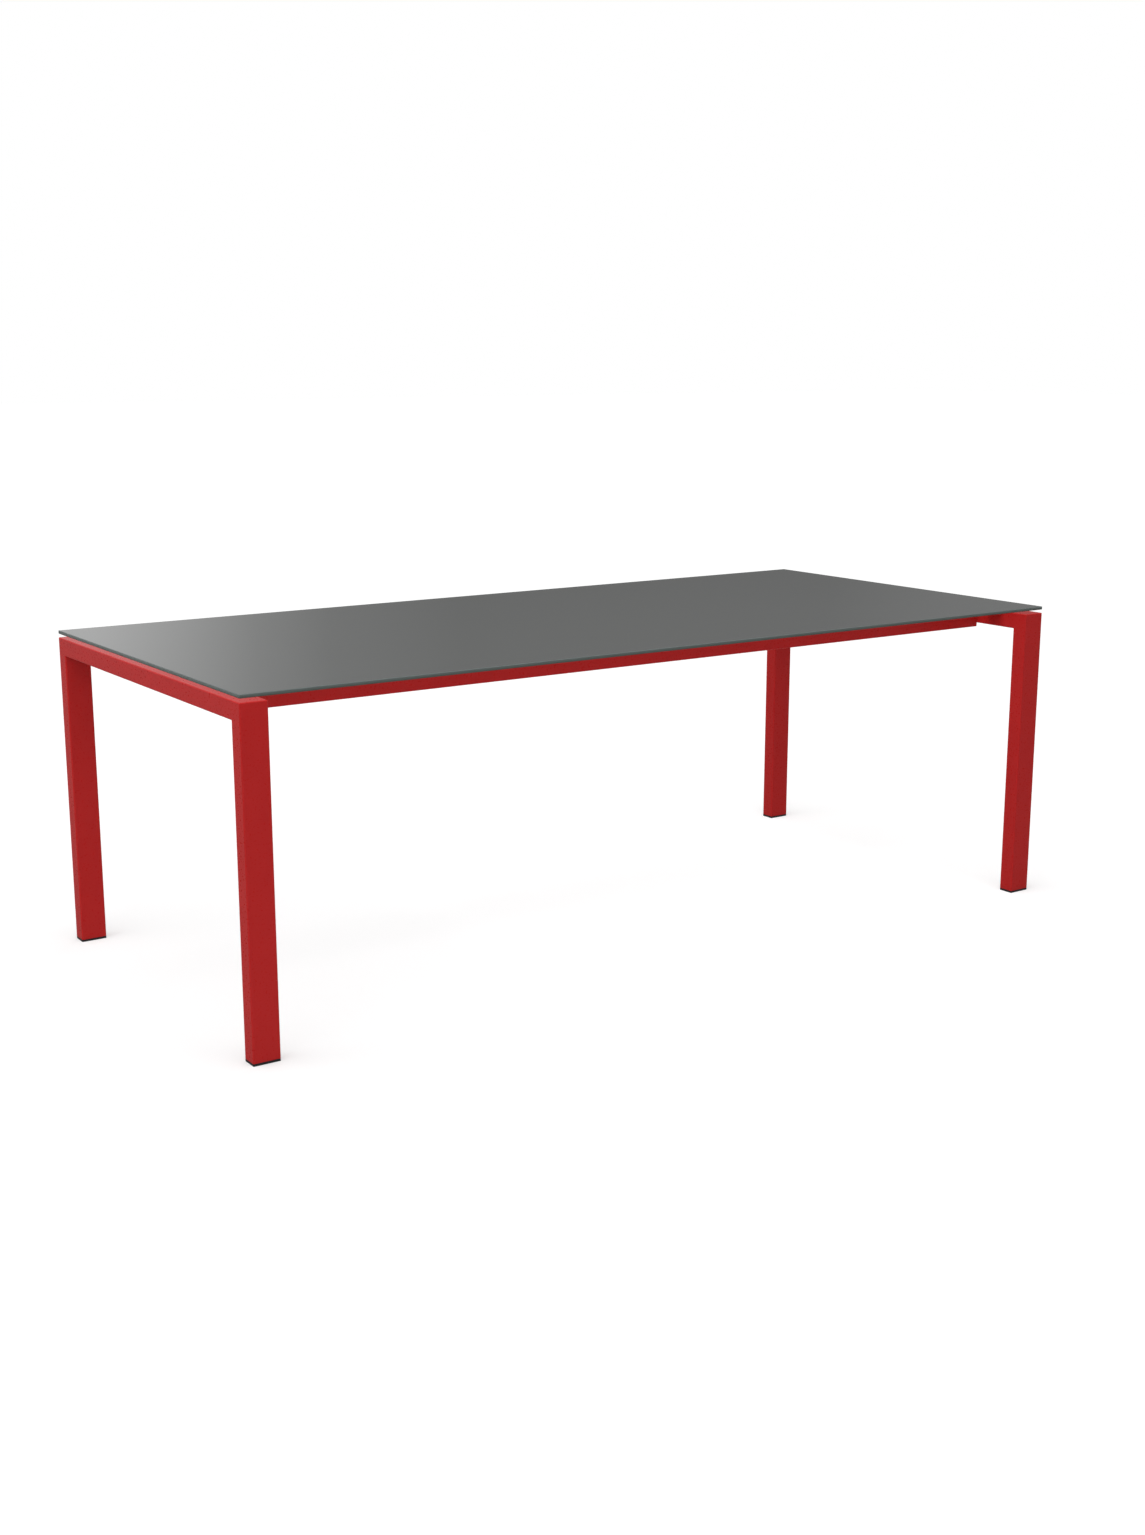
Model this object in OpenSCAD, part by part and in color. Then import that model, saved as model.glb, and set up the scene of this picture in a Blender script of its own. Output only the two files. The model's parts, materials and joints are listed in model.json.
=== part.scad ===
// Dining table. A back-painted glass top floats just above a frame of rectangular
// steel tube. Each end of the frame is a welded portal: two legs and an end beam,
// mitred at the corners. Two long rails, set in from the sides, are bolted between
// the portals with angle brackets. The glass is bonded to steel discs, and each disc
// is screwed from below to a lug that is welded to a beam or a rail.
// Millimetres. X runs along the table, Y across it from front to back, Z up.
// The origin is on the floor, below the middle of the top.

/* [Overall] */
// Length over the legs
table_l = 2200; // [1600:10:2600]
// Width over the legs
table_w = 1000; // [800:10:1200]
// Height of the upper face of the glass above the floor
table_h = 745; // [700:5:780]

/* [Glass top] */
// Thickness of the glass
glass_t = 8; // [6:1:12]
// How far the glass stays inside the outline of the frame, all round
glass_inset = 0.5; // [0:0.5:20]
// Radius of the glass corners, seen from above
glass_corner_r = 1; // [1:0.5:20]
// Width of the ground arris on the upper and lower edges of the glass
glass_arris = 1; // [0.5:0.1:2]
// Open gap between the frame and the glass
glass_gap = 8; // [5:0.5:11]

/* [Legs and end beams] */
// Width of the legs and the end beams, along the table
portal_w = 60; // [50:1:80]
// Depth of the legs, across the table
leg_d = 40; // [36:1:60]
// Height of the end beams
beam_h = 40; // [36:1:60]
// Wall of the legs and the end beams
portal_wall = 2; // [1.5:0.5:3]
// Corner radius of every tube, outside
tube_r = 3; // [2.5:0.5:4]
// Radius of the ground weld at the outer corner of each portal
weld_r = 3; // [1:0.5:4]

/* [Long rails] */
// Height of the long rails
rail_h = 50; // [40:1:70]
// Width of the long rails
rail_w = 30; // [25:1:50]
// Wall of the long rails
rail_wall = 2; // [1.5:0.5:3]
// From the long side of the frame to the outer face of a rail
rail_inset = 165; // [120:5:220]
// Thickness of the plates that close the ends of the rails
end_plate_t = 3; // [2:0.5:6]

/* [Corner brackets] */
// Length of each flange of a bracket, from the outside of the bend
bracket_l = 65; // [62:1:90]
// Height of the brackets
bracket_h = 30; // [24:1:32]
// Thickness of the bracket plate
bracket_t = 5; // [3:0.5:6]
// Radius inside the bend
bracket_bend_r = 4; // [2:0.5:6]
// Radius of the free corners of the flanges
bracket_corner_r = 5; // [2:1:8]
// From the outside of the bend to the first screw
bracket_first = 24; // [22:1:28]
// Distance between the two screws of a flange
bracket_pitch = 26; // [22:1:30]

/* [Bracket screws and rivet nuts] */
// Diameter of the bracket screws
screw_d = 8; // [5:1:8]
// Diameter of the flange under the screw heads
screw_head_d = 17.5; // [15:0.5:20]
// Height of the screw heads
screw_head_h = 4.4; // [3:0.1:6]
// Size across the flats of the socket in the screw heads
screw_key = 5; // [3:0.5:6]
// Length of screw inside a rivet nut
screw_bite = 11; // [6:1:14]
// Radial play of the screws in the bracket holes
screw_play = 0.5; // [0.2:0.1:1.5]
// Diameter of the rivet nut bodies
nut_d = 11; // [10:0.5:12]
// Diameter of the countersunk heads of the rivet nuts
nut_head_d = 13; // [12.5:0.5:14]
// Diameter of the bulge that grips the inside of the tube wall
nut_bulge_d = 15; // [14:0.5:17]
// Height of that bulge
nut_bulge_h = 4; // [2:0.5:6]
// Length of the rivet nuts
nut_l = 16; // [14:0.5:18]

/* [Glass fixings] */
// Diameter of the steel discs bonded to the glass
disc_d = 40; // [30:1:50]
// Thickness of the discs
disc_t = 8; // [7:0.5:10]
// Thickness of the soft ring between a disc and its lug
ring_t = 3; // [1:0.5:4]
// Diameter of the hole in the soft rings
ring_hole_d = 12; // [10:0.5:16]
// Thickness of the lugs
lug_t = 4; // [3:0.5:6]
// How far a lug reaches past its disc, all round
lug_margin = 2; // [1:0.5:6]
// Radius of the free corners of the lugs
lug_corner_r = 8; // [3:1:14]
// Diameter of the disc screws
disc_screw_d = 6; // [4:1:8]
// Diameter of the flange under the heads of the disc screws
disc_screw_head_d = 13.5; // [12:0.5:18]
// Height of the heads of the disc screws
disc_screw_head_h = 3.3; // [2:0.1:5]
// Size across the flats of the socket in the disc screws
disc_screw_key = 4; // [2.5:0.5:5]
// Length of screw inside a disc
disc_screw_bite = 5; // [3:0.5:5.5]
// Radial play of the disc screws in the lugs, which takes up the bonding tolerance
disc_screw_play = 1.5; // [0.5:0.1:2]

/* [Foot caps] */
// Thickness of the cap that shows below each leg
foot_t = 5.5; // [3:0.5:12]
// Width of the arris on the edges of the foot caps
foot_arris = 0.4; // [0.2:0.1:1]
// Height of the plug inside the leg
plug_h = 26; // [16:1:40]
// Wall of the plug
plug_wall = 2; // [1.5:0.5:3]
// How far the fins stand out from the plug
fin_reach = 2.5; // [1:0.5:4]
// Thickness of a fin
fin_t = 1.2; // [0.8:0.1:2]
// Distance from one fin to the next
fin_pitch = 5; // [3:0.5:8]

/* [Fits] */
// Gap between the fins of a foot cap and the inside of its leg
plug_fit = 0.2; // [0.1:0.05:0.5]
// Gap between a rivet nut and its hole
nut_fit = 0.05; // [0.02:0.01:0.2]
// Radial gap between a screw and the bore that it is driven into
thread_fit = 0.1; // [0.05:0.05:0.2]
// How far the blind thread in a disc runs past the end of its screw
thread_spare = 1; // [0.5:0.1:1.2]

/* [Hidden] */
$fn = 64;

// Colours
powder_red = [0.64, 0.14, 0.14];
glass_grey = [0.42, 0.43, 0.42];
cap_black = [0.08, 0.08, 0.08];
zinc_grey = [0.62, 0.63, 0.65];
stainless_grey = [0.72, 0.73, 0.74];
ring_grey = [0.30, 0.31, 0.32];

// Signs that turn a piece of the back right quarter into one of the other quarters
front = -1;
back = 1;
left = -1;
middle = 0;
right = 1;

// How far a cutting shape reaches past the faces that it cuts
cut = 1;

// Smallest radius that is left inside the corners of a tube
least_r = 0.5;

// Shape of a button head: its flange and socket as shares of its height, its dome of its width
flange_share = 0.25;
socket_share = 0.55;
dome_share = 0.8;

// Levels
glass_z = table_h - glass_t;
frame_z = glass_z - glass_gap;
beam_z = frame_z - beam_h;
rail_z = frame_z - rail_h;
bracket_z = frame_z - beam_h / 2;
lug_z = glass_z - disc_t - ring_t;

// Places of the tubes
half_l = table_l / 2;
half_w = table_w / 2;
leg_x = half_l - portal_w / 2;
leg_y = half_w - leg_d / 2;
inner_x = half_l - portal_w;
inner_y = half_w - leg_d;
rail_out_y = half_w - rail_inset;
rail_in_y = rail_out_y - rail_w;

// Places of the screws along a bracket flange, from its bend
bracket_holes = [bracket_first, bracket_first + bracket_pitch];
nut_head_h = (nut_head_d - nut_d) / 2;

// A disc stands clear of the tube by the same margin as its lug reaches past it
disc_reach = disc_d / 2 + lug_margin;
lug_l = disc_d + 2 * lug_margin;
lug_reach = disc_reach * 2;
beam_lug_y = (rail_out_y + inner_y) / 2;
rail_lug_x = (inner_x - disc_reach) / 2;

// Rectangle with round corners, centred
module rounded_rect(w, d, r) {
    square([w - 2 * r, d], center = true);
    square([w, d - 2 * r], center = true);
    for (x = [-1, 1], y = [-1, 1])
        translate([x * (w / 2 - r), y * (d / 2 - r)])
            circle(r);
}

// Section of a rectangular tube, centred
module tube_section(w, d, wall) {
    inner_r = max(tube_r - wall, least_r);
    difference() {
        rounded_rect(w, d, tube_r);
        rounded_rect(w - 2 * wall, d - 2 * wall, inner_r);
    }
}

// Runs a section along X, with the section's own axes along Y and Z
module along_x(l) {
    rotate([90, 0, 90])
        linear_extrude(l, center = true)
            children();
}

// Runs a section along Y, with the section's own axes along X and Z
module along_y(l) {
    rotate([90, 0, 0])
        linear_extrude(l, center = true)
            children();
}

// Side view of a slab with an arris on its upper and lower edges
module arrised_side(w, t, arris) {
    polygon([
        [-w / 2 + arris, 0], [w / 2 - arris, 0], [w / 2, arris], [w / 2, t - arris],
        [w / 2 - arris, t], [-w / 2 + arris, t], [-w / 2, t - arris], [-w / 2, arris]
    ]);
}

// Slab on the XY plane with round corners and an arris on its upper and lower edges
module arrised_slab(l, w, t, corner_r, arris) {
    intersection() {
        linear_extrude(t)
            rounded_rect(l, w, corner_r);
        along_x(l + 2 * cut)
            arrised_side(w, t, arris);
        along_y(w + 2 * cut)
            arrised_side(l, t, arris);
    }
}

// Turns a piece of the back right quarter into its mirror image in another quarter
module quarter(side_y, side_x) {
    mirror([side_x < 0 ? 1 : 0, 0, 0])
        mirror([0, side_y < 0 ? 1 : 0, 0])
            children();
}

module every_quarter() {
    for (side_y = [front, back], side_x = [left, right])
        quarter(side_y, side_x)
            children();
}

// Front view of a whole portal, with its outer corners ground round
module portal_outline() {
    translate([-half_w, 0])
        square([table_w, frame_z - weld_r]);
    translate([-half_w + weld_r, 0])
        square([table_w - 2 * weld_r, frame_z]);
    for (side = [-1, 1])
        translate([side * (half_w - weld_r), frame_z - weld_r])
            circle(weld_r);
}

// The mitre runs from the outer to the inner corner of the portal
module leg_outline() {
    intersection() {
        polygon([[inner_y, foot_t], [half_w, foot_t], [half_w, frame_z], [inner_y, beam_z]]);
        portal_outline();
    }
}

module beam_outline() {
    intersection() {
        polygon([[-half_w, frame_z], [half_w, frame_z], [inner_y, beam_z], [-inner_y, beam_z]]);
        portal_outline();
    }
}

module glass_top() {
    color(glass_grey)
        translate([0, 0, glass_z])
            arrised_slab(table_l - 2 * glass_inset, table_w - 2 * glass_inset, glass_t,
                         glass_corner_r, glass_arris);
}

module leg(side_y, side_x) {
    color(powder_red)
        quarter(side_y, side_x)
            intersection() {
                translate([leg_x, leg_y, foot_t])
                    linear_extrude(frame_z - foot_t)
                        tube_section(portal_w, leg_d, portal_wall);
                translate([leg_x, 0, 0])
                    along_x(portal_w + 2 * cut)
                        leg_outline();
            }
}

module end_beam(side_x) {
    color(powder_red)
        mirror([side_x < 0 ? 1 : 0, 0, 0])
            difference() {
                intersection() {
                    translate([leg_x, 0, frame_z - beam_h / 2])
                        along_y(table_w)
                            tube_section(portal_w, beam_h, portal_wall);
                    translate([leg_x, 0, 0])
                        along_x(portal_w + 2 * cut)
                            beam_outline();
                }
                for (side_y = [front, back])
                    quarter(side_y, right)
                        at_beam_screws()
                            rivet_nut_hole(portal_wall);
            }
}

module rail(side_y) {
    color(powder_red)
        quarter(side_y, right)
            difference() {
                translate([0, rail_out_y - rail_w / 2, rail_z + rail_h / 2])
                    along_x(2 * (inner_x - end_plate_t))
                        tube_section(rail_w, rail_h, rail_wall);
                for (side_x = [left, right])
                    quarter(back, side_x)
                        at_rail_screws()
                            rivet_nut_hole(rail_wall);
            }
}

module end_plate(side_y, side_x) {
    color(powder_red)
        quarter(side_y, side_x)
            translate([inner_x - end_plate_t / 2, rail_out_y - rail_w / 2, rail_z + rail_h / 2])
                along_x(end_plate_t)
                    rounded_rect(rail_w, rail_h, tube_r);
}

// Places on a bracket where screws go into the end beam, with Z into the beam
module at_beam_screws() {
    for (hole = bracket_holes)
        translate([inner_x, rail_in_y - hole, bracket_z])
            rotate([0, 90, 0])
                children();
}

// Places on a bracket where screws go into the rail, with Z into the rail
module at_rail_screws() {
    for (hole = bracket_holes)
        translate([inner_x - hole, rail_in_y, bracket_z])
            rotate([-90, 0, 0])
                children();
}

// Plan of a bracket bent from plate, with the outside of its bend at the origin
module bracket_plan() {
    outer_r = bracket_bend_r + bracket_t;
    difference() {
        union() {
            translate([-bracket_l, -bracket_t])
                square([bracket_l, bracket_t]);
            translate([-bracket_t, -bracket_l])
                square([bracket_t, bracket_l]);
            translate([-outer_r, -outer_r])
                square(bracket_bend_r);
        }
        translate([-outer_r, -outer_r])
            circle(bracket_bend_r);
        difference() {
            translate([-outer_r, -outer_r])
                square(outer_r + cut);
            translate([-outer_r, -outer_r])
                circle(outer_r);
        }
    }
}

module bracket(side_y, side_x) {
    color(powder_red)
        quarter(side_y, side_x)
            difference() {
                intersection() {
                    translate([inner_x, rail_in_y, bracket_z - bracket_h / 2])
                        linear_extrude(bracket_h)
                            bracket_plan();
                    translate([inner_x, rail_in_y, bracket_z])
                        along_x(2 * bracket_l + cut)
                            rounded_rect(2 * bracket_l, bracket_h, bracket_corner_r);
                    translate([inner_x, rail_in_y, bracket_z])
                        along_y(2 * bracket_l + cut)
                            rounded_rect(2 * bracket_l, bracket_h, bracket_corner_r);
                }
                at_beam_screws()
                    screw_hole(bracket_t, screw_d + 2 * screw_play);
                at_rail_screws()
                    screw_hole(bracket_t, screw_d + 2 * screw_play);
            }
}

// Hole through a plate that lies just below the XY plane
module screw_hole(plate_t, hole_d) {
    translate([0, 0, -plate_t - cut])
        cylinder(h = plate_t + 2 * cut, d = hole_d);
}

// Countersunk hole in a tube wall that lies just above the XY plane
module rivet_nut_hole(wall) {
    translate([0, 0, -cut])
        cylinder(h = wall + 2 * cut, d = nut_d + 2 * nut_fit);
    translate([0, 0, -cut])
        cylinder(h = nut_head_h + cut, d1 = nut_head_d + 2 * (nut_fit + cut), d2 = nut_d + 2 * nut_fit);
}

// Rivet nut set in a tube wall that lies just above the XY plane
module rivet_nut(wall) {
    bore_r = screw_d / 2 + thread_fit;
    rotate_extrude()
        polygon([
            [bore_r, 0], [nut_head_d / 2, 0], [nut_d / 2, nut_head_h], [nut_d / 2, wall],
            [nut_bulge_d / 2, wall], [nut_bulge_d / 2, wall + nut_bulge_h / 2],
            [nut_d / 2, wall + nut_bulge_h], [nut_d / 2, nut_l], [bore_r, nut_l]
        ]);
}

// Button head screw with a flange. It holds a plate that lies just below the XY plane
module button_screw(d, plate_t, bite, head_d, head_h, key) {
    flange_h = head_h * flange_share;
    dome_d = head_d * dome_share;
    dome_r = (pow(head_h, 2) + pow(dome_d / 2, 2)) / (2 * head_h);
    socket_h = head_h * socket_share;
    translate([0, 0, -plate_t])
        cylinder(h = plate_t + bite, d = d);
    translate([0, 0, -plate_t])
        mirror([0, 0, 1])
            difference() {
                union() {
                    cylinder(h = flange_h, d = head_d);
                    intersection() {
                        translate([0, 0, head_h - dome_r])
                            sphere(dome_r);
                        cylinder(h = head_h + cut, d = dome_d);
                    }
                }
                translate([0, 0, head_h - socket_h])
                    cylinder(h = socket_h + cut, d = key / cos(30), $fn = 6);
            }
}

module beam_rivet_nuts() {
    color(zinc_grey)
        every_quarter()
            at_beam_screws()
                rivet_nut(portal_wall);
}

module rail_rivet_nuts() {
    color(zinc_grey)
        every_quarter()
            at_rail_screws()
                rivet_nut(rail_wall);
}

module bracket_screw() {
    button_screw(screw_d, bracket_t, screw_bite, screw_head_d, screw_head_h, screw_key);
}

module beam_bracket_screws() {
    color(zinc_grey)
        every_quarter()
            at_beam_screws()
                bracket_screw();
}

module rail_bracket_screws() {
    color(zinc_grey)
        every_quarter()
            at_rail_screws()
                bracket_screw();
}

// Place of a lug on an end beam, with Y pointing away from the beam
module at_beam_lug(side_x, place_y) {
    translate([side_x * inner_x, place_y * beam_lug_y, lug_z])
        rotate([0, 0, side_x * 90])
            children();
}

// Place of a lug on a rail, with Y pointing away from the rail
module at_rail_lug(side_y, place_x) {
    translate([place_x * rail_lug_x, side_y * rail_in_y, lug_z])
        rotate([0, 0, side_y > 0 ? 180 : 0])
            children();
}

// Middle of each disc, at the level of the lugs
module every_disc() {
    for (side = [-1, 1], place = [-1, 0, 1]) {
        at_beam_lug(side, place)
            translate([0, disc_reach, 0])
                children();
        at_rail_lug(side, place)
            translate([0, disc_reach, 0])
                children();
    }
}

// Lug with its upper face on the XY plane and its welded edge along X
module lug() {
    color(powder_red)
        difference() {
            translate([0, 0, -lug_t])
                linear_extrude(lug_t)
                    intersection() {
                        rounded_rect(lug_l, 2 * lug_reach, lug_corner_r);
                        translate([-lug_l / 2, 0])
                            square([lug_l, lug_reach]);
                    }
            translate([0, disc_reach, 0])
                screw_hole(lug_t, disc_screw_d + 2 * disc_screw_play);
        }
}

module lug_on_beam(side_x, place_y) {
    at_beam_lug(side_x, place_y)
        lug();
}

module lug_on_rail(side_y, place_x) {
    at_rail_lug(side_y, place_x)
        lug();
}

module soft_rings() {
    color(ring_grey)
        every_disc()
            difference() {
                cylinder(h = ring_t, d = disc_d);
                translate([0, 0, -cut])
                    cylinder(h = ring_t + 2 * cut, d = ring_hole_d);
            }
}

// The blind thread stops short of the glass
module glass_discs() {
    thread_h = disc_screw_bite + thread_spare;
    color(stainless_grey)
        every_disc()
            translate([0, 0, ring_t])
                difference() {
                    cylinder(h = disc_t, d = disc_d);
                    translate([0, 0, -cut])
                        cylinder(h = thread_h + cut, d = disc_screw_d + 2 * thread_fit);
                }
}

module disc_screws() {
    color(zinc_grey)
        every_disc()
            button_screw(disc_screw_d, lug_t, ring_t + disc_screw_bite,
                         disc_screw_head_d, disc_screw_head_h, disc_screw_key);
}

// Foot cap under one leg: a flush sole and a hollow plug with fins that grip the leg
module foot_cap(side_y, side_x) {
    bore_w = portal_w - 2 * (portal_wall + plug_fit);
    bore_d = leg_d - 2 * (portal_wall + plug_fit);
    bore_r = max(tube_r - portal_wall, least_r);
    box_w = bore_w - 2 * fin_reach;
    box_d = bore_d - 2 * fin_reach;
    chamber_w = (box_w - 3 * plug_wall) / 2;
    chamber_x = (chamber_w + plug_wall) / 2;
    color(cap_black)
        quarter(side_y, side_x)
            translate([leg_x, leg_y, 0]) {
                arrised_slab(portal_w, leg_d, foot_t, tube_r, foot_arris);
                translate([0, 0, foot_t])
                    difference() {
                        union() {
                            linear_extrude(plug_h)
                                rounded_rect(box_w, box_d, bore_r);
                            for (z = [fin_pitch / 2 : fin_pitch : plug_h - fin_t])
                                translate([0, 0, z])
                                    linear_extrude(fin_t)
                                        rounded_rect(bore_w, bore_d, bore_r);
                        }
                        for (side = [-1, 1])
                            translate([side * chamber_x, 0, 0])
                                linear_extrude(plug_h + cut)
                                    square([chamber_w, box_d - 2 * plug_wall], center = true);
                    }
            }
}

glass_top();
leg(front, left);  // leg_front_left
leg(front, right);  // leg_front_right
leg(back, left);  // leg_back_left
leg(back, right);  // leg_back_right
end_beam(left);  // end_beam_left
end_beam(right);  // end_beam_right
rail(front);  // rail_front
rail(back);  // rail_back
end_plate(front, left);  // end_plate_front_left
end_plate(front, right);  // end_plate_front_right
end_plate(back, left);  // end_plate_back_left
end_plate(back, right);  // end_plate_back_right
bracket(front, left);  // bracket_front_left
bracket(front, right);  // bracket_front_right
bracket(back, left);  // bracket_back_left
bracket(back, right);  // bracket_back_right
beam_rivet_nuts();
rail_rivet_nuts();
beam_bracket_screws();
rail_bracket_screws();
lug_on_beam(left, front);  // lug_beam_left_front
lug_on_beam(left, middle);  // lug_beam_left_middle
lug_on_beam(left, back);  // lug_beam_left_back
lug_on_beam(right, front);  // lug_beam_right_front
lug_on_beam(right, middle);  // lug_beam_right_middle
lug_on_beam(right, back);  // lug_beam_right_back
lug_on_rail(front, left);  // lug_rail_front_left
lug_on_rail(front, middle);  // lug_rail_front_middle
lug_on_rail(front, right);  // lug_rail_front_right
lug_on_rail(back, left);  // lug_rail_back_left
lug_on_rail(back, middle);  // lug_rail_back_middle
lug_on_rail(back, right);  // lug_rail_back_right
glass_discs();
soft_rings();
disc_screws();
foot_cap(front, left);  // foot_cap_front_left
foot_cap(front, right);  // foot_cap_front_right
foot_cap(back, left);  // foot_cap_back_left
foot_cap(back, right);  // foot_cap_back_right
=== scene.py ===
"""Looks, studio and camera for a dining table: a grey back-painted glass top that floats
on a frame of rectangular steel tube with a satin red powder coat. Metres, +Z up."""

import json
import math

import bmesh
import bpy
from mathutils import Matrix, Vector


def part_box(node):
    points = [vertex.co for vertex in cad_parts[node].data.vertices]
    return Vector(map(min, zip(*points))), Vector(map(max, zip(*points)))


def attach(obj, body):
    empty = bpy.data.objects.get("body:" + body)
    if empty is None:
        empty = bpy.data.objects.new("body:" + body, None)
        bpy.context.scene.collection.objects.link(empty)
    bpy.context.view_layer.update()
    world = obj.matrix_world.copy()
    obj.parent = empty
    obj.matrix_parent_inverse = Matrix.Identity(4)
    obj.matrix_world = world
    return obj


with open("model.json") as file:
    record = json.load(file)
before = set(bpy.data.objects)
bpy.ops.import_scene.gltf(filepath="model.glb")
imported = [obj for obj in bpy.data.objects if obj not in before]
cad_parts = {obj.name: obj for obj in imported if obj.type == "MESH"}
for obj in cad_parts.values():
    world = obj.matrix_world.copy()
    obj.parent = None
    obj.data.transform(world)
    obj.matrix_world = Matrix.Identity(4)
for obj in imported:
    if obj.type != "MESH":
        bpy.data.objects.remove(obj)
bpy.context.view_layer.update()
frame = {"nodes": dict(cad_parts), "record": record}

# Camera, worked out from the straight edges of the table in the photograph
CAMERA_PLACE = (-2.5233, -3.7045, 1.3777)
CAMERA_HEADING = 34.268  # degrees from +Y towards +X
CAMERA_PITCH = -12.630  # degrees above the horizon
CAMERA_LENS = 43.673  # millimetres, for a long side of 36 mm

# Weld beads
LUG_BEAD = 0.0032  # leg of the fillet under each lug
PORTAL_BEAD = 0.0016  # leg of the dressed fillet inside the corners of the portals
BEAD_SINK = 0.0002  # how far a bead reaches into the steel behind it
BEAD_FLATTENING = 0.20  # share of a quarter circle's radius that the middle of its face lacks
BEAD_ARC_STEPS = 6  # across the face
BEAD_LEAST_STEPS = 8  # along the bead
RIPPLE_SPACING = 0.0017  # distance between the ripples of a lug's bead
RIPPLE_HEIGHT = 0.11  # share of the bead's size
RIPPLE_LAG = 0.9  # how far the middle of a ripple stays behind its ends, in spacings
RIPPLE_STEPS = 5  # along one spacing
DOWN = (0, 0, -1)

# Surfaces
NOISE_LOW, NOISE_HIGH = 0.3, 0.7  # nearly all the values of a noise lie between these
LEVEL_FACE = 0.95  # the direction of a level face points up or down by at least this
UPRIGHT_FACE = 0.3  # and that of an upright face by at most this

# Floor
FLOOR_SIZE = 90.0
FLOOR_DROP = 0.0002  # below the soles of the table
FLOOR_COLOUR = 0.70  # for the light that it throws back on the table
FLOOR_SHOWN = 0.50  # in the picture, where a glow adds what it lacks to FLOOR_WHITE
FLOOR_WHITE = 1.07  # so far above white that only the shadows close to the feet are left
FLOOR_MIRRORED = 0.08  # in what the table reflects
GLOW_MIRRORED = 0.37  # share of the glow that the table reflects

# Sky
SKY_NEAR = 0.90  # soft light from the horizon on the side of the camera
SKY_FAR = 0.25  # and from the horizon on the other side
SKY_FALL = 0.6  # share of it that is lost from the horizon to the zenith
SKY_KEY = (0.34, -0.94, 0.0)  # direction that the brighter side of the sky lies in

# Overhead lamp, to the left of the table's middle and a little in front of it
OVERHEAD_SIZE = (7.0, 6.0)
OVERHEAD_PLACE = (-2.2, -0.9, 5.0)
OVERHEAD_POWER = 425.0
BELOW_OVERHEAD = OVERHEAD_PLACE[:2] + (0.0,)  # the point on the floor that it aims at
OVERHEAD_ON_FLOOR = 1.121  # brightness of a white floor at that point
OVERHEAD_REACH = 6.7  # distance from that point at which it has fallen to a quarter

# Side lamp, a weak one beyond the left end
SIDE_SIZE = (1.6, 1.2)
SIDE_PLACE = (-3.45, 0.3, 1.1)
SIDE_POWER = 10.0
SIDE_AIM = (0.0, 0.0, 0.5)

# Cloths, a ring that only reflections show
CLOTH_DISTANCE = 40.0
CLOTH_HEIGHT = 42.0
CLOTH_STEPS = 90
QUARTER = 90.0  # degrees, after which the cloths repeat
CLOTH_START = 43.0  # heading from +X in degrees where the first quarter of the ring starts
CLOTH_LEVELS = (  # degrees from the start of a quarter, brightness
    (0, 0.22), (4, 0.170), (16.5, 0.155), (21, 0.210), (23.5, 0.315), (26, 0.50), (29, 0.72),
    (34, 0.80), (45, 0.70), (60, 0.45), (75, 0.28), (90, 0.22),
)


def add(tree, kind, *values, settings=None, **named):
    """A new node. Each value is a constant or another node's output. The unnamed ones go into the
    first inputs, in their order, and _ stands for a space in a name."""
    made = tree.nodes.new(kind)
    for name, value in (settings or {}).items():
        setattr(made, name, value)
    inputs = [(made.inputs[i], value) for i, value in enumerate(values)]
    inputs += [(made.inputs[name.replace("_", " ")], value) for name, value in named.items()]
    for socket, value in inputs:
        if isinstance(value, bpy.types.NodeSocket):
            tree.links.new(value, socket)
        else:
            socket.default_value = value
    return made


def maths(tree, operation, *values):
    return add(tree, "ShaderNodeMath", *values, settings={"operation": operation}).outputs[0]


def blend(tree, share, low, high):
    """A colour between two others."""
    return add(tree, "ShaderNodeMixRGB", share, low, high).outputs[0]


def ranged(tree, value, low, high, to_low, to_high):
    """A value that goes from to_low to to_high as another goes from low to high."""
    return add(tree, "ShaderNodeMapRange", value, low, high, to_low, to_high).outputs[0]


def upward_part(tree, vector):
    return add(tree, "ShaderNodeSeparateXYZ", vector).outputs[2]


def on_object(tree):
    """Position on the object in metres, which is the same in every node of the frame."""
    return add(tree, "ShaderNodeTexCoord").outputs["Object"]


def noise(tree, scale, detail, stretch=(1, 1, 1)):
    """Smooth noise from 0 to 1 with about scale bumps in a metre."""
    spread = add(tree, "ShaderNodeMapping", on_object(tree), Scale=stretch).outputs[0]
    return add(tree, "ShaderNodeTexNoise", Vector=spread, Scale=scale, Detail=detail).outputs[0]


def mottled(tree, scale, detail, low, high):
    """A colour that wanders between two others, with the bumps of a noise."""
    return blend(tree, noise(tree, scale, detail), low, high)


def wandering(tree, scale, detail, low, high):
    """A value that wanders between two others, with the bumps of a noise."""
    return ranged(tree, noise(tree, scale, detail), NOISE_LOW, NOISE_HIGH, low, high)


def bump(tree, height, depth):
    return add(tree, "ShaderNodeBump", Height=height, Distance=depth, Strength=1.0).outputs[0]


def grain(tree, scale, detail, depth):
    """Fine unevenness of the surface."""
    return bump(tree, noise(tree, scale, detail), depth)


def ramp(tree, value, stops, interpolation="LINEAR"):
    """A colour that depends on a value from 0 to 1. Stops are (position, colour), lowest first."""
    made = add(tree, "ShaderNodeValToRGB", value)
    made.color_ramp.interpolation = interpolation
    elements = made.color_ramp.elements
    while len(elements) < len(stops):
        elements.new(1.0)
    for element, (position, colour) in zip(elements, stops):
        element.position = position
        element.color = colour
    return made.outputs[0]


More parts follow.
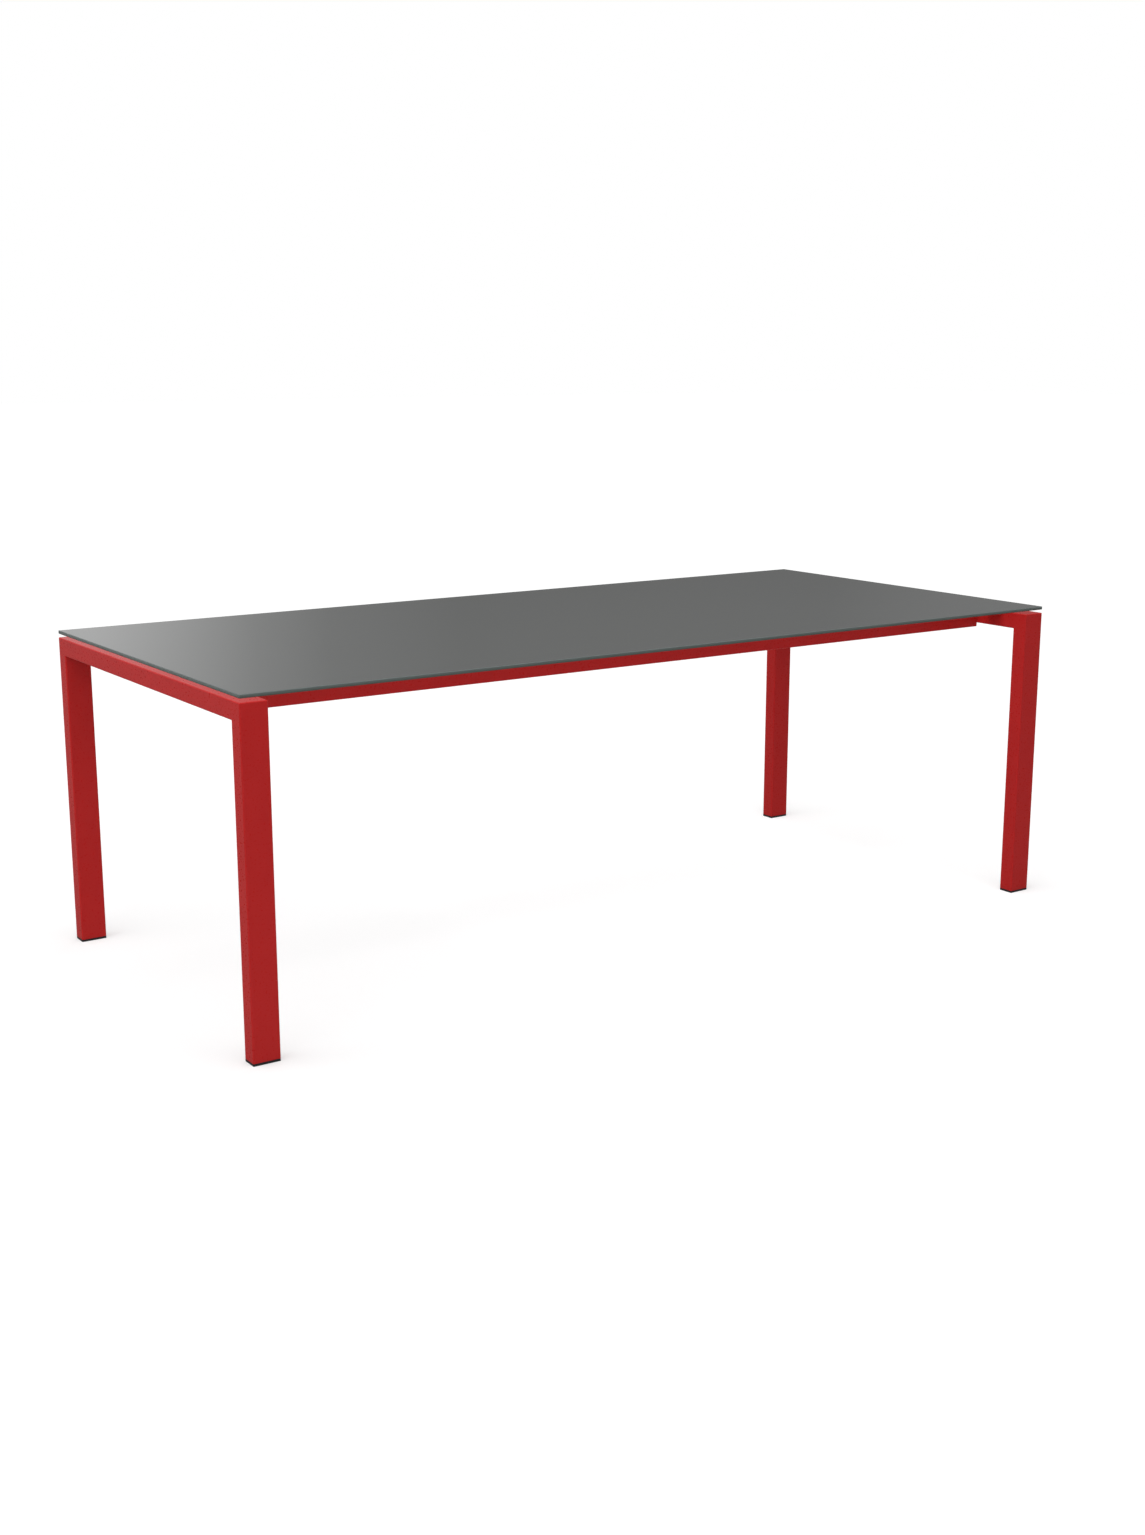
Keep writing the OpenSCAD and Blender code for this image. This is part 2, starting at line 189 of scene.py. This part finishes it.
def by_height_of_normal(tree, *bands):
    """A colour for each band of the upward part of the surface's own direction, from -1 to 1.
    Bands are (lowest, colour), lowest first."""
    upward = upward_part(tree, add(tree, "ShaderNodeNewGeometry").outputs["Normal"])
    stops = [((lowest + 1) / 2, colour) for lowest, colour in bands]
    return ramp(tree, ranged(tree, upward, -1, 1, 0, 1), stops, "CONSTANT")


def rgb(red, green, blue):
    return (red, green, blue, 1.0)


def grey(level):
    return rgb(level, level, level)


def new_material(name):
    """An empty material, with the socket that its surface goes into."""
    material = bpy.data.materials.new("look_" + name)
    material.use_nodes = True
    tree = material.node_tree
    tree.nodes.clear()
    return material, tree, tree.nodes.new("ShaderNodeOutputMaterial").inputs["Surface"]


def finish_surface(tree, surface, **values):
    shader = add(tree, "ShaderNodeBsdfPrincipled", **values)
    tree.links.new(shader.outputs[0], surface)


def back_painted_glass():
    """Tempered glass over grey lacquer. The ground edge is dark green, with a painted highlight that
    makes it paler above, a painted highlight on the upper arris and a dark lower arris. Its
    underside shows the lacquer, which is matt."""
    material, tree, surface = new_material("back_painted_glass")
    low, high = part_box("glass_top")
    # Dark green is the edge's own colour; pale is a painted highlight towards the top of the edge
    dark_green, pale = rgb(0.044, 0.052, 0.044), rgb(0.104, 0.124, 0.120)
    # Painted highlight: the ground edge is coloured paler upwards
    painted_highlight_share = ranged(tree, upward_part(tree, on_object(tree)), low.z, high.z, 0, 1)
    edge = blend(tree, painted_highlight_share, dark_green, pale)
    # Painted highlight on the upper arris
    painted_arris_highlight = rgb(0.090, 0.107, 0.105)
    lacquer = rgb(0.120, 0.124, 0.121)
    seen_through = mottled(tree, 5, 2, rgb(0.087, 0.0905, 0.0882), rgb(0.090, 0.0935, 0.0912))
    is_top = by_height_of_normal(tree, (-1, grey(0)), (LEVEL_FACE, grey(1)))
    is_edge = by_height_of_normal(
        tree, (-1, grey(0)), (-UPRIGHT_FACE, grey(1)), (UPRIGHT_FACE, grey(0))
    )
    others = by_height_of_normal(tree, (-1, lacquer), (-LEVEL_FACE, dark_green), (0, painted_arris_highlight))
    roughness = by_height_of_normal(  # of the lacquer below, the ground edge and the polished top
        tree, (-1, grey(0.45)), (-LEVEL_FACE, grey(0.16)), (LEVEL_FACE, grey(0.02))
    )
    finish_surface(
        tree, surface,
        Base_Color=blend(tree, is_top, blend(tree, is_edge, others, edge), seen_through),
        Roughness=maths(tree, "MULTIPLY", roughness, wandering(tree, 30, 4, 0.8, 1.2)),
        IOR=1.52,
        Normal=grain(tree, 9, 1, depth=0.00002),
    )
    return material


def red_powder_coat():
    """Satin powder coat: a fine peel, slight clouds in the colour and in the gloss."""
    material, tree, surface = new_material("red_powder_coat")
    finish_surface(
        tree, surface,
        Base_Color=mottled(tree, 14, 3, rgb(0.377, 0.0108, 0.0103), rgb(0.403, 0.0128, 0.0122)),
        Roughness=wandering(tree, 220, 2, 0.26, 0.34),
        IOR=1.5,
        Specular_IOR_Level=0.15,
        Normal=grain(tree, 750, 3, depth=0.00012),
    )
    return material


def zinc_plated_steel():
    """Bright zinc: pale, with a slight blue and yellow cast that wanders, and fine rolling marks."""
    material, tree, surface = new_material("zinc_plated_steel")
    finish_surface(
        tree, surface,
        Base_Color=mottled(tree, 160, 3, rgb(0.48, 0.49, 0.52), rgb(0.56, 0.55, 0.50)),
        Metallic=1.0,
        Roughness=wandering(tree, 500, 3, 0.24, 0.38),
        Normal=grain(tree, 2600, 2, depth=0.00003),
    )
    return material


def stainless_steel():
    """Turned discs: fine grooves that run round, so they repeat up the height."""
    material, tree, surface = new_material("stainless_steel")
    grooves = noise(tree, 60, 3, stretch=(0.4, 0.4, 90))
    finish_surface(
        tree, surface,
        Base_Color=blend(tree, grooves, rgb(0.50, 0.50, 0.50), rgb(0.60, 0.60, 0.59)),
        Metallic=1.0,
        Roughness=ranged(tree, grooves, 0.2, 0.8, 0.22, 0.36),
        Normal=bump(tree, grooves, depth=0.00004),
    )
    return material


def grey_elastomer():
    """Soft rings: matt, with a faint moulded grain."""
    material, tree, surface = new_material("grey_elastomer")
    finish_surface(
        tree, surface,
        Base_Color=mottled(tree, 300, 3, rgb(0.070, 0.074, 0.078), rgb(0.092, 0.096, 0.100)),
        Roughness=wandering(tree, 1200, 2, 0.62, 0.78),
        Specular_IOR_Level=0.35,
        Normal=grain(tree, 1600, 3, depth=0.00006),
    )
    return material


def black_plastic():
    """Foot caps: moulded black plastic with a spark-eroded satin grain."""
    material, tree, surface = new_material("black_plastic")
    finish_surface(
        tree, surface,
        Base_Color=mottled(tree, 90, 3, grey(0.010), grey(0.016)),
        Roughness=wandering(tree, 900, 3, 0.42, 0.56),
        Specular_IOR_Level=0.3,
        Normal=grain(tree, 1900, 3, depth=0.00008),
    )
    return material


LOOKS = {
    "back_painted_glass": back_painted_glass(),
    "red_powder_coat": red_powder_coat(),
    "zinc_plated_steel": zinc_plated_steel(),
    "stainless_steel": stainless_steel(),
    "grey_elastomer": grey_elastomer(),
    "black_plastic": black_plastic(),
}


def dress_frame():
    for part in frame["record"]["subparts"]:
        frame["nodes"][part["node"]].material_slots[0].material = LOOKS[part["material_slot"]]


def new_object(name, data):
    """A new object, placed in the scene."""
    made = bpy.data.objects.new(name, data)
    bpy.context.scene.collection.objects.link(made)
    return made


def mesh_object(name, mesh, material):
    """A new object of that mesh, which is used up."""
    data = bpy.data.meshes.new(name)
    mesh.to_mesh(data)
    mesh.free()
    data.materials.append(material)
    return new_object(name, data)


def add_bead(mesh, start, end, side_a, side_b, leg, ripple=None):
    """A fillet weld from start to end in the corner between two faces, whose outward directions are
    side_a and side_b. With a ripple, the weld pool leaves crescents at that distance."""
    start, end, side_a, side_b = map(Vector, (start, end, side_a, side_b))
    along = (end - start).normalized()
    length = (end - start).length
    step = ripple / RIPPLE_STEPS if ripple else leg
    steps = max(BEAD_LEAST_STEPS, round(length / step))
    root = -BEAD_SINK * (side_a + side_b)
    rings = []
    for i in range(steps + 1):
        travel = length * i / steps
        to_end = min(travel, length - travel) / leg
        size = leg * math.sqrt(max(0.0, 1 - max(0.0, 1 - to_end) ** 2)) + BEAD_SINK
        middle = start + along * travel + root
        ring = [middle]
        for j in range(BEAD_ARC_STEPS + 1):
            turn = math.pi / 2 * j / BEAD_ARC_STEPS
            across = math.sin(2 * turn)  # 0 where the bead meets a face, 1 halfway between them
            swell = 1 - BEAD_FLATTENING * across
            if ripple:
                lag = travel - RIPPLE_LAG * ripple * across
                swell += RIPPLE_HEIGHT * across * abs(math.sin(math.pi * lag / ripple))
            ring.append(middle + (side_a * math.cos(turn) + side_b * math.sin(turn)) * size * swell)
        rings.append([mesh.verts.new(p) for p in ring])
    for near, far in zip(rings, rings[1:]):
        for j in range(len(near)):
            k = (j + 1) % len(near)
            mesh.faces.new((near[j], near[k], far[k], far[j]))
    mesh.faces.new(rings[0][::-1])
    mesh.faces.new(rings[-1])


def finish_piece(name, mesh, slot):
    """Turns the mesh into a piece that rides on the frame, with the finish of a slot."""
    bmesh.ops.recalc_face_normals(mesh, faces=mesh.faces)
    piece = mesh_object(name, mesh, LOOKS[slot])
    for face in piece.data.polygons:
        face.use_smooth = True
    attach(piece, "root")


def lug_welds():
    """A rippled bead under each lug, where it meets its beam or rail."""
    mesh = bmesh.new()
    inset = LUG_BEAD / 2
    for name in frame["nodes"]:
        if not name.startswith("lug_"):
            continue
        low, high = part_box(name)
        if name.startswith("lug_beam"):
            x, away = (low.x, 1) if low.x < 0 else (high.x, -1)
            start, end = (x, low.y + inset, low.z), (x, high.y - inset, low.z)
            outwards = (away, 0, 0)
        else:
            y, away = (low.y, 1) if low.y < 0 else (high.y, -1)
            start, end = (low.x + inset, y, low.z), (high.x - inset, y, low.z)
            outwards = (0, away, 0)
        add_bead(mesh, start, end, outwards, DOWN, LUG_BEAD, RIPPLE_SPACING)
    finish_piece("lug_welds", mesh, "red_powder_coat")


def portal_welds():
    """A small dressed bead in the inner corner of each mitre, under the end beam."""
    mesh = bmesh.new()
    inset = 2 * PORTAL_BEAD
    for side_y in ("front", "back"):
        for side_x in ("left", "right"):
            low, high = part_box(f"leg_{side_y}_{side_x}")
            beam_low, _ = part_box(f"end_beam_{side_x}")
            y, inwards = (high.y, 1) if side_y == "front" else (low.y, -1)
            start, end = (low.x + inset, y, beam_low.z), (high.x - inset, y, beam_low.z)
            add_bead(mesh, start, end, (0, inwards, 0), DOWN, PORTAL_BEAD)
    finish_piece("portal_welds", mesh, "red_powder_coat")


def ray_level(tree, start, **changes):
    """A number that changes with the kind of ray that looks: each kind named adds its change."""
    path = add(tree, "ShaderNodeLightPath")
    total = start
    for kind, change in changes.items():
        part = maths(tree, "MULTIPLY", path.outputs[kind.replace("_", " ")], change)
        total = maths(tree, "ADD", total, part)
    return total


def light_on_floor(tree, position):
    """Brightness of a white floor without the table, at each point."""
    distance = add(tree, "ShaderNodeVectorMath", position, BELOW_OVERHEAD,
                   settings={"operation": "DISTANCE"}).outputs["Value"]
    in_reaches = maths(tree, "DIVIDE", distance, OVERHEAD_REACH)
    spread = maths(tree, "ADD", 1.0, maths(tree, "POWER", in_reaches, 2.0))
    from_lamp = maths(tree, "DIVIDE", OVERHEAD_ON_FLOOR, maths(tree, "MULTIPLY", spread, spread))
    # Mean of the sky over all directions, each with the share in which a level floor receives it
    from_sky = (SKY_NEAR + SKY_FAR) / 2 * (1 - SKY_FALL * 2 / 3)
    return maths(tree, "ADD", from_lamp, from_sky)


def make_floor():
    """A pale floor that catches the table's shadow. Its glow makes it white in the picture, and
    from below it isn't seen."""
    material, tree, surface = new_material("floor")
    geometry = add(tree, "ShaderNodeNewGeometry")
    colour = ray_level(tree, FLOOR_COLOUR, Is_Camera_Ray=FLOOR_SHOWN - FLOOR_COLOUR,
                       Is_Glossy_Ray=FLOOR_MIRRORED - FLOOR_COLOUR)
    matt = add(tree, "ShaderNodeBsdfDiffuse", colour).outputs[0]
    lit = maths(tree, "MULTIPLY", FLOOR_SHOWN, light_on_floor(tree, geometry.outputs["Position"]))
    missing = maths(tree, "SUBTRACT", FLOOR_WHITE, lit)
    seen = ray_level(tree, 0.0, Is_Camera_Ray=1, Is_Glossy_Ray=GLOW_MIRRORED)
    strength = maths(tree, "MULTIPLY", missing, seen)
    glow = add(tree, "ShaderNodeEmission", grey(1), strength).outputs[0]
    from_above = add(tree, "ShaderNodeAddShader", matt, glow).outputs[0]
    from_below = add(tree, "ShaderNodeBsdfTransparent").outputs[0]
    shown = add(tree, "ShaderNodeMixShader", geometry.outputs["Backfacing"], from_above, from_below)
    tree.links.new(shown.outputs[0], surface)
    mesh = bmesh.new()
    bmesh.ops.create_grid(mesh, x_segments=1, y_segments=1, size=FLOOR_SIZE / 2)
    floor = mesh_object("floor", mesh, material)
    floor.location.z = -FLOOR_DROP


def make_sky():
    """White behind the table, and even soft light on it that is stronger on the camera's side."""
    world = bpy.data.worlds.new("studio")
    bpy.context.scene.world = world
    world.use_nodes = True
    tree = world.node_tree
    tree.nodes.clear()
    direction = add(tree, "ShaderNodeTexCoord").outputs["Generated"]
    towards_key = add(tree, "ShaderNodeVectorMath", direction, SKY_KEY,
                      settings={"operation": "DOT_PRODUCT"}).outputs["Value"]
    height = maths(tree, "ABSOLUTE", upward_part(tree, direction))
    fall = ranged(tree, height, 0, 1, 1, 1 - SKY_FALL)
    light = maths(tree, "MULTIPLY", ranged(tree, towards_key, -1, 1, SKY_FAR, SKY_NEAR), fall)
    shown = ray_level(tree, 0.0, Is_Camera_Ray=1, Is_Glossy_Ray=1, Is_Transmission_Ray=1)
    sky = add(tree, "ShaderNodeBackground", blend(tree, shown, light, grey(1)), 1.0)
    tree.links.new(sky.outputs[0], tree.nodes.new("ShaderNodeOutputWorld").inputs["Surface"])


def let_light_through():
    """A list of what casts no shadow. The glass is left out of reflections too, because the
    photograph shows the sky mirrored in the upper faces of the frame below it."""
    glass = frame["nodes"]["glass_top"]
    glass.visible_glossy = False
    let_through = bpy.data.collections.new("let_through")
    let_through.objects.link(glass)
    let_through.collection_objects[0].light_linking.link_state = "EXCLUDE"
    return let_through


def make_lamp(name, size, place, power, towards, let_through):
    """A soft lamp. The glass casts no shadow from it, as in the photograph, where the upper faces
    of the frame are as bright below the glass as beside it."""
    data = bpy.data.lights.new(name, "AREA")
    data.shape = "RECTANGLE"
    data.size, data.size_y = size
    data.energy = power
    lamp = new_object(name, data)
    lamp.location = place
    lamp.rotation_euler = (Vector(towards) - Vector(place)).to_track_quat("-Z", "Y").to_euler()
    lamp.visible_camera = False
    lamp.visible_glossy = False
    lamp.light_linking.blocker_collection = let_through


def make_cloths():
    """A ring of grey cloths far round the studio, which only reflections show: the glass in the
    photograph mirrors a dark room with a lighter part to the left. They fade away upwards."""
    material, tree, surface = new_material("cloth")
    position = add(tree, "ShaderNodeNewGeometry").outputs["Position"]
    east, north, height = add(tree, "ShaderNodeSeparateXYZ", position).outputs
    heading = maths(tree, "DEGREES", maths(tree, "ARCTAN2", north, east))
    from_start = maths(tree, "SUBTRACT", heading, CLOTH_START)
    in_quarter = maths(tree, "DIVIDE", maths(tree, "FLOORED_MODULO", from_start, QUARTER), QUARTER)
    stops = [(angle / QUARTER, grey(level)) for angle, level in CLOTH_LEVELS]
    cloth = add(tree, "ShaderNodeEmission", ramp(tree, in_quarter, stops))
    nothing = add(tree, "ShaderNodeBsdfTransparent")
    faded = add(tree, "ShaderNodeMapRange", height, CLOTH_HEIGHT / 2, CLOTH_HEIGHT, 0, 1,
                settings={"interpolation_type": "SMOOTHSTEP"}).outputs[0]
    shown = add(tree, "ShaderNodeMixShader", faded, cloth.outputs[0], nothing.outputs[0])
    tree.links.new(shown.outputs[0], surface)
    mesh = bmesh.new()
    edges = []
    for i in range(CLOTH_STEPS):
        angle = 2 * math.pi * i / CLOTH_STEPS
        x, y = CLOTH_DISTANCE * math.cos(angle), CLOTH_DISTANCE * math.sin(angle)
        edges.append((mesh.verts.new((x, y, 0)), mesh.verts.new((x, y, CLOTH_HEIGHT))))
    for (a, b), (c, d) in zip(edges, edges[1:] + edges[:1]):
        mesh.faces.new((a, c, d, b))
    cloths = mesh_object("cloths", mesh, material)
    cloths.visible_camera = False
    cloths.visible_diffuse = False
    cloths.visible_transmission = False
    cloths.visible_shadow = False


def make_camera():
    data = bpy.data.cameras.new("camera")
    data.lens = CAMERA_LENS
    camera = new_object("camera", data)
    camera.location = CAMERA_PLACE
    camera.rotation_euler = (math.radians(90 + CAMERA_PITCH), 0, -math.radians(CAMERA_HEADING))
    bpy.context.scene.camera = camera


make_camera()
dress_frame()
lug_welds()
portal_welds()
make_floor()
make_sky()
casts_no_shadow = let_light_through()
make_lamp("overhead", OVERHEAD_SIZE, OVERHEAD_PLACE, OVERHEAD_POWER, BELOW_OVERHEAD,
          casts_no_shadow)
make_lamp("side", SIDE_SIZE, SIDE_PLACE, SIDE_POWER, SIDE_AIM, casts_no_shadow)
make_cloths()
bpy.context.scene.view_settings.view_transform = "Standard"
